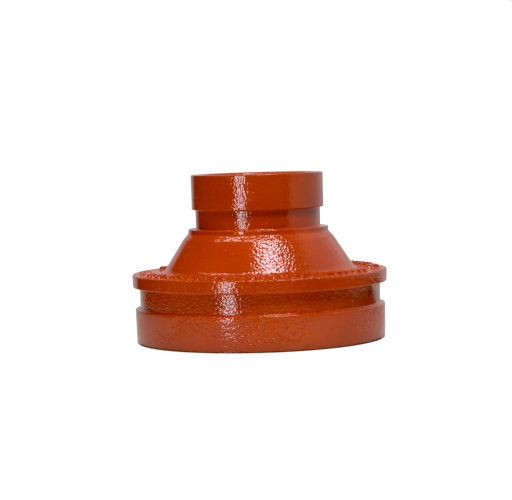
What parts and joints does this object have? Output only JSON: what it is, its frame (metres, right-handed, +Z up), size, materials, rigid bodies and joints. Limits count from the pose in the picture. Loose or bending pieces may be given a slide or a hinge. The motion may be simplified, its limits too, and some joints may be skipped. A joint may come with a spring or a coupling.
{
  "type": "grooved reducer",
  "caption": "Short cast pipe fitting that joins a wide and a narrow grooved pipe end, with a collar, a cone and an open flow passage.",
  "frame": {"origin": "centre of the large end's face, on the flow axis, where the part stands", "axes": "+Z up along the flow axis, from the large end to the small end; the picture's camera looks along +Y, with +X to its right"},
  "size_m": [0.1164, 0.1164, 0.076],
  "materials": {
    "painted_casting": "glossy orange-red enamel over an as-cast surface, with a slight orange-peel"
  },
  "bodies": {
    "root": {"reducer": "painted_casting"}
  },
  "joints": []
}
